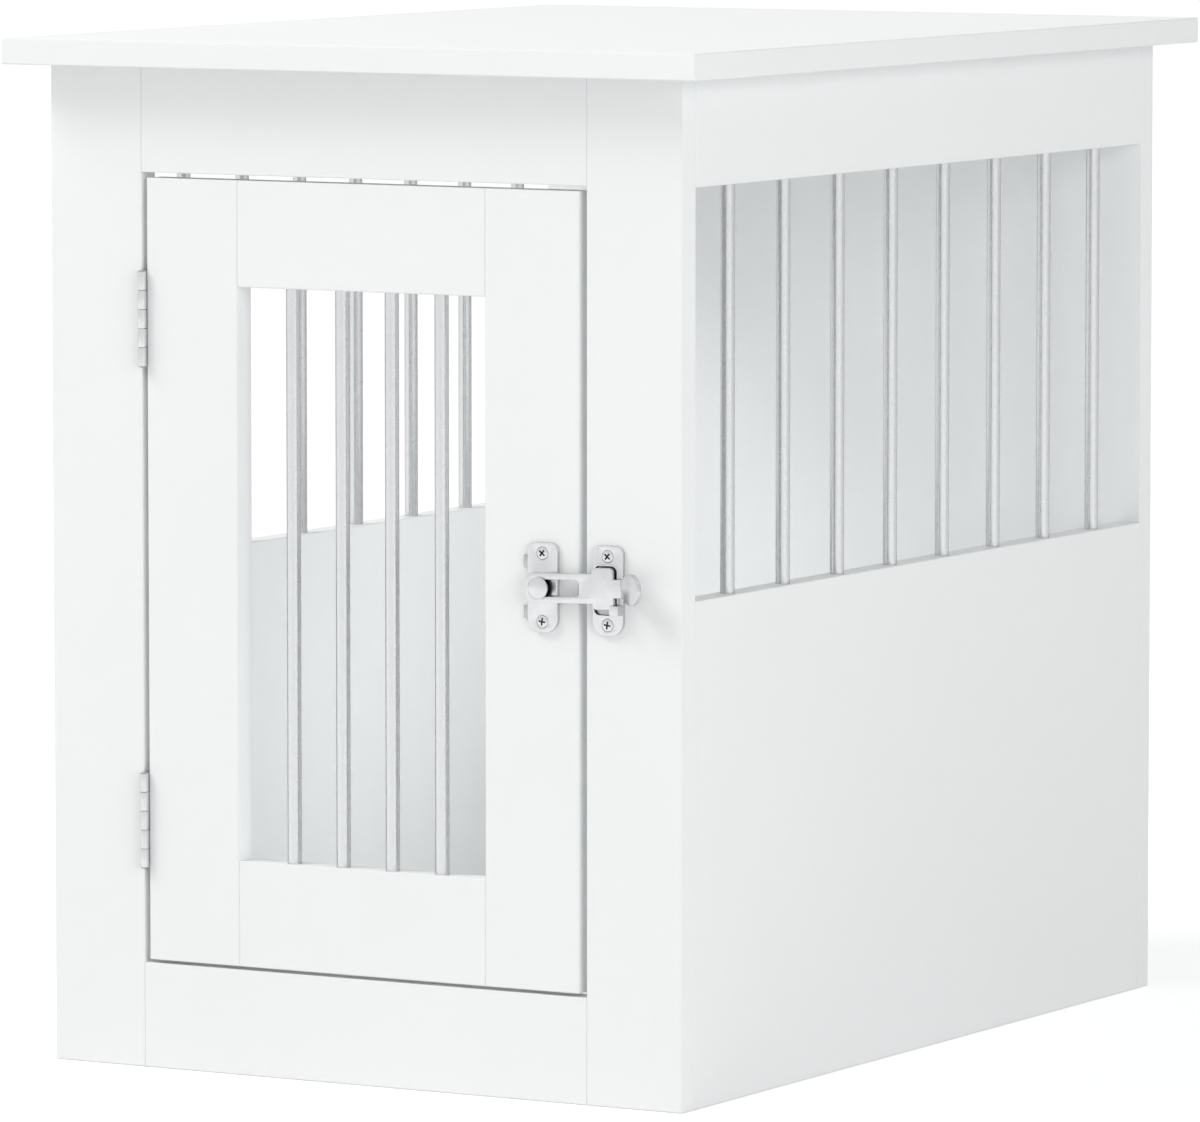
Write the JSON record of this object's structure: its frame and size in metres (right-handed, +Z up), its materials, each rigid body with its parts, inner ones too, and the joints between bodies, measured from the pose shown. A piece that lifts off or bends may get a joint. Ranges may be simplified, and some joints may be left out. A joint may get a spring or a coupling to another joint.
{
  "type": "dog crate end table",
  "caption": "White end table that is also a small dog crate: panelled cabin with vertical steel rods, a hinged barred door and a swinging, sliding latch.",
  "frame": {"origin": "on the floor, under the middle of the table top", "axes": "+Z up, +Y from the door towards the back, +X to the right seen from the front"},
  "size_m": [0.45, 0.62, 0.585],
  "materials": {
    "white_board": "white melamine faced board, fine satin",
    "rod_steel": "galvanised steel rod, satin, drawn along its length",
    "nickel": "satin nickel plate",
    "zinc_fitting": "die-cast zinc, bare",
    "beech_dowel": "bare beech"
  },
  "bodies": {
    "cabinet": {"top_panel": "white_board", "front_left_stile": "white_board", "front_right_stile": "white_board", "front_top_rail": "white_board", "front_bottom_rail": "white_board", "back_panel": "white_board", "left_lower_panel": "white_board", "right_lower_panel": "white_board", "left_upper_rail": "white_board", "right_upper_rail": "white_board", "floor_panel": "white_board", "left_side_rod_1": "rod_steel", "left_side_rod_2": "rod_steel", "left_side_rod_3": "rod_steel", "left_side_rod_4": "rod_steel", "left_side_rod_5": "rod_steel", "left_side_rod_6": "rod_steel", "left_side_rod_7": "rod_steel", "left_side_rod_8": "rod_steel", "right_side_rod_1": "rod_steel", "right_side_rod_2": "rod_steel", "right_side_rod_3": "rod_steel", "right_side_rod_4": "rod_steel", "right_side_rod_5": "rod_steel", "right_side_rod_6": "rod_steel", "right_side_rod_7": "rod_steel", "right_side_rod_8": "rod_steel", "carcass_dowels": "beech_dowel", "carcass_cam_locks": "zinc_fitting", "carcass_cam_bolts": "zinc_fitting", "upper_hinge_frame_leaf": "nickel", "lower_hinge_frame_leaf": "nickel", "upper_hinge_pin": "nickel", "lower_hinge_pin": "nickel", "hinge_frame_screws": "nickel", "latch_keeper": "nickel", "latch_keeper_screws": "nickel"},
    "door": {"door_left_stile": "white_board", "door_right_stile": "white_board", "door_top_rail": "white_board", "door_bottom_rail": "white_board", "door_rod_1": "rod_steel", "door_rod_2": "rod_steel", "door_rod_3": "rod_steel", "door_rod_4": "rod_steel", "door_dowels": "beech_dowel", "door_cam_locks": "zinc_fitting", "door_cam_bolts": "zinc_fitting", "upper_hinge_door_leaf": "nickel", "lower_hinge_door_leaf": "nickel", "hinge_door_screws": "nickel", "latch_door_plate": "nickel", "latch_door_screws": "nickel"},
    "latch_pivot": {"latch_pivot_post": "nickel"},
    "latch_arm": {"latch_arm": "nickel"}
  },
  "joints": [
    {"name": "door_hinge", "type": "hinge", "parent": "cabinet", "child": "door", "pos_m": [-0.1432, -0.2908, 0.2875], "axis": [0, 0, -1], "range_deg": [0, 170]},
    {"name": "latch_swing", "type": "hinge", "parent": "door", "child": "latch_pivot", "pos_m": [0.1183, -0.2885, 0.2875], "axis": [0, -1, 0], "range_deg": [0, 88]},
    {"name": "latch_slide", "type": "slide", "parent": "latch_pivot", "child": "latch_arm", "axis": [-0.9994, 0, -0.0349], "range_m": [0, 0.0205]}
  ]
}
